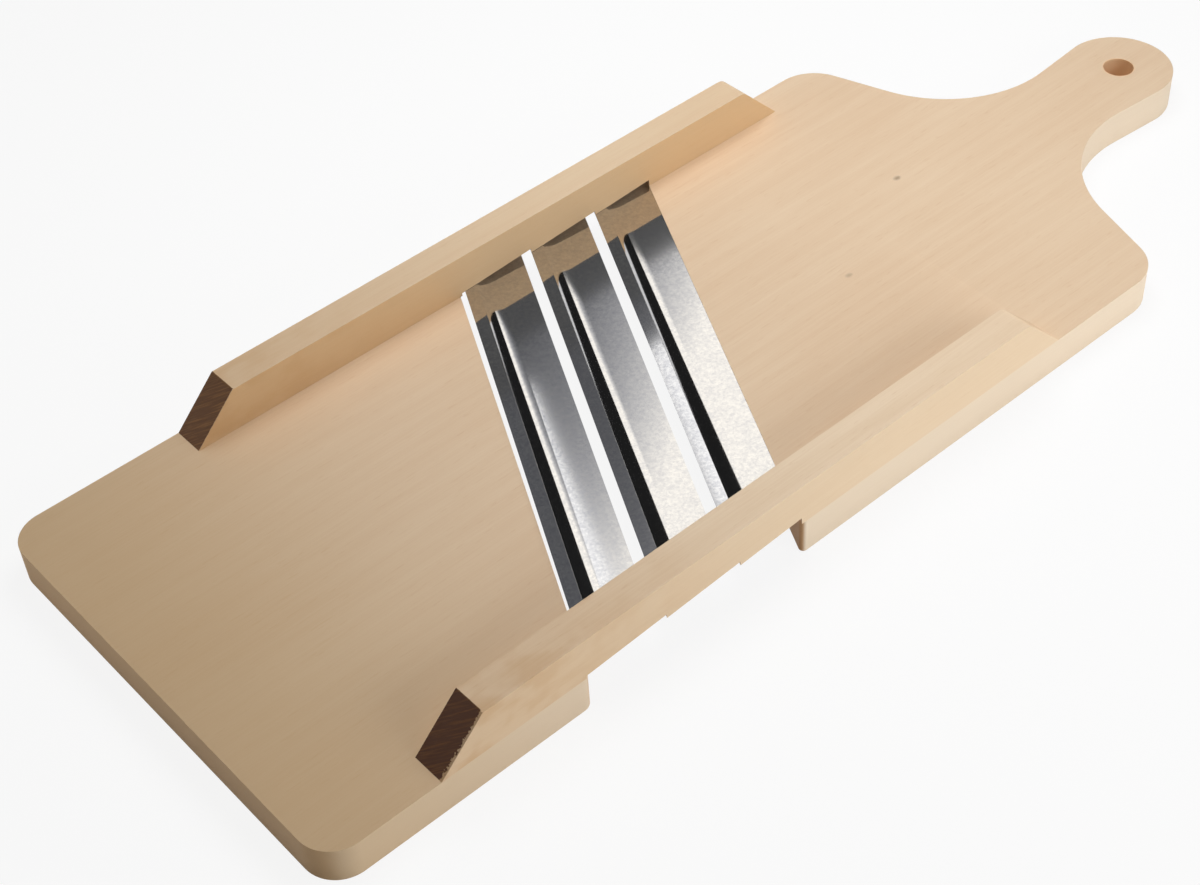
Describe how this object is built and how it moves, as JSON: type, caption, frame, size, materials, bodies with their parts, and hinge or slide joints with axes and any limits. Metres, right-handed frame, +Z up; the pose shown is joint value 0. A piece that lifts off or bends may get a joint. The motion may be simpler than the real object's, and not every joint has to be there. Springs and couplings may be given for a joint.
{
  "type": "cabbage cutter",
  "caption": "Wooden hand shredder: plain board and paddle-handled board bridged by guide rails, with a bank of slanted bent-sheet knives in the gap and a hang hole in the grip.",
  "frame": {"origin": "on the resting plane, under the middle of the overall length and width", "axes": "+X along the cutter towards the handle, +Y across it to the far rail, +Z up through the boards"},
  "size_m": [0.461, 0.17, 0.03],
  "materials": {
    "board_wood": "planed and sanded, unfinished",
    "rail_wood": "planed, unfinished, sawn ends",
    "knife_steel": "bright rolled sheet, ground edge",
    "nail_steel": "plain bright wire",
    "screw_steel": "plain zinc"
  },
  "bodies": {
    "root": {"front_board": "board_wood", "rear_board": "board_wood", "near_rail": "rail_wood", "far_rail": "rail_wood", "front_knife": "knife_steel", "middle_knife": "knife_steel", "rear_knife": "knife_steel", "knife_nails": "nail_steel", "rail_screws": "screw_steel"}
  },
  "joints": []
}
